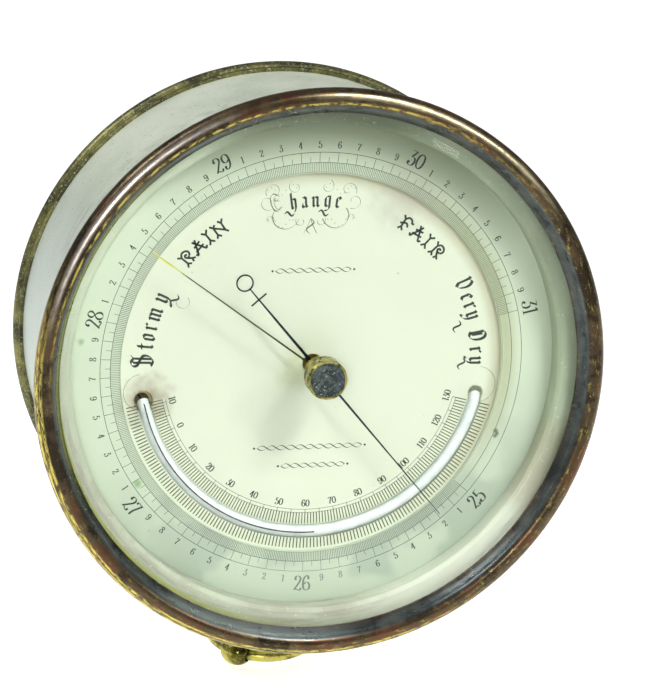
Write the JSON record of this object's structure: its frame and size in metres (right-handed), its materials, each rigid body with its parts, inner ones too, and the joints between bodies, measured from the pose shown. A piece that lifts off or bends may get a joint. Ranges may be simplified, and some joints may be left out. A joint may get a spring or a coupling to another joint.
{
  "type": "ship barometer",
  "caption": "Brass drum aneroid barometer with silvered dial, curved thermometer, set hand and a swinging pendant ring.",
  "frame": {"origin": "centre of the flat rear face that lies on the bulkhead, on the case axis", "axes": "+Z is the dial's 12 o'clock, +Y points into the bulkhead (the dial faces -Y), +X is to the right of the dial"},
  "size_m": [0.15, 0.0676, 0.1611],
  "materials": {
    "patinated_brass": "dark worn patina with bright edges",
    "silvered_case": "dull silvered, finely scratched",
    "back_brass": "aged lacquered brass",
    "silvered_dial": "matt silvered, engraved and waxed",
    "reflector": "worn silvering over brass",
    "crystal": "thick bevelled glass",
    "tube_glass": "clear drawn tube",
    "mercury": "liquid metal",
    "brass": "machined",
    "gilt": "gilt, tarnished",
    "capsule_metal": "tinned corrugated sheet",
    "steel": "fine ground",
    "spring_steel": "tempered blue",
    "screw_steel": "oiled",
    "blued_steel": "heat blued",
    "washer_leather": "waxed"
  },
  "bodies": {
    "case": {"adjusting_bush": "brass", "arbor_bushes": "brass", "back_plate": "back_brass", "back_plate_screws": "patinated_brass", "base_plate_screws": "screw_steel", "bezel_grub_screws": "patinated_brass", "bulb_strap": "brass", "bulb_strap_screws": "screw_steel", "capsule_nut": "brass", "capsule_stud": "brass", "case_drum": "silvered_case", "case_lugs": "brass", "crystal_glass": "crystal", "dial_pillars": "brass", "dial_plate": "silvered_dial", "front_bezel": "patinated_brass", "hairspring": "spring_steel", "hairspring_stud": "brass", "lower_cock": "brass", "main_spring": "spring_steel", "mercury_thread": "mercury", "movement_base_plate": "brass", "movement_pillars": "brass", "pendant_bush": "patinated_brass", "rear_frame_screws": "screw_steel", "rear_ring": "patinated_brass", "reflector_ring": "reflector", "rocker_bracket": "brass", "rocker_pivot_screws": "steel", "scale_ring": "silvered_dial", "spring_bridge": "brass", "spring_clamp_plate": "brass", "spring_clamp_screws": "screw_steel", "thermometer_tube": "tube_glass", "top_plate": "brass", "top_plate_screws": "screw_steel", "vacuum_capsule": "capsule_metal", "winding_chain": "steel"},
    "hand": {"centre_arbor": "steel", "chain_drum": "brass", "hairspring_collet": "brass", "hand_collet": "brass", "indicator_hand": "blued_steel"},
    "rocker": {"rocking_shaft": "steel", "short_crank": "steel", "long_arm": "steel"},
    "lever": {"main_lever": "steel", "main_lever_screws": "screw_steel"},
    "link": {"connecting_link": "brass"},
    "post": {"capsule_post": "brass", "knife_edge": "steel"},
    "set_pointer": {"set_knob": "patinated_brass", "set_arbor": "gilt", "set_knob_washer": "washer_leather", "set_hand_boss": "gilt", "set_hand": "gilt"},
    "adjuster": {"adjusting_screw": "steel"},
    "pendant": {"pendant_ball": "patinated_brass", "pendant_nut": "brass"},
    "ring": {"suspension_ring": "patinated_brass"}
  },
  "joints": [
    {"name": "post_travel", "type": "slide", "parent": "case", "child": "post", "axis": [0, 1, 0], "range_m": [-0.0000208, 0.000639], "deforming": ["main_spring", "vacuum_capsule"]},
    {"name": "lever_rise", "type": "hinge", "parent": "case", "child": "lever", "pos_m": [0, -0.0284, 0.027], "axis": [1, 0, 0], "range_deg": [-0.05, 1.37]},
    {"name": "link_turn", "type": "hinge", "parent": "lever", "child": "link", "pos_m": [0, -0.0298, -0.037], "axis": [1, 0, 0], "range_deg": [-1.37, 0.05]},
    {"name": "rocker_turn", "type": "hinge", "parent": "case", "child": "rocker", "pos_m": [0, -0.022, -0.033], "axis": [1, 0, 0], "range_deg": [-0.8, 22]},
    {"name": "hand_spin", "type": "hinge", "parent": "case", "child": "hand", "pos_m": [0, -0.051, 0], "axis": [0, 1, 0], "range_deg": [-9.7, 297.3], "stiffness_Nm_per_rad": 0.002, "deforming": ["hairspring", "winding_chain"]},
    {"name": "set_hand_spin", "type": "hinge", "parent": "case", "child": "set_pointer", "pos_m": [0, -0.0594, 0], "axis": [0, 1, 0], "continuous": true},
    {"name": "adjusting_turn", "type": "hinge", "parent": "case", "child": "adjuster", "pos_m": [0, -0.009, 0.03], "axis": [0, 1, 0], "range_deg": [-180, 180]},
    {"name": "pendant_swivel", "type": "hinge", "parent": "case", "child": "pendant", "pos_m": [-0.01231, -0.037, -0.0684], "axis": [-0.1771, 0, -0.9842], "range_deg": [-160, 80]},
    {"name": "ring_swing", "type": "hinge", "parent": "pendant", "child": "ring", "pos_m": [-0.01484, -0.037, -0.08248], "axis": [-0.7539, 0.6428, 0.1357], "range_deg": [0, 198]}
  ],
  "couplings": [
    {"joint": "lever_rise", "follows": "post_travel", "rad_per_m": 37.207},
    {"joint": "link_turn", "follows": "post_travel", "rad_per_m": -37.207},
    {"joint": "rocker_turn", "follows": "post_travel", "rad_per_m": 595},
    {"joint": "hand_spin", "follows": "post_travel", "rad_per_m": 8118.4}
  ]
}
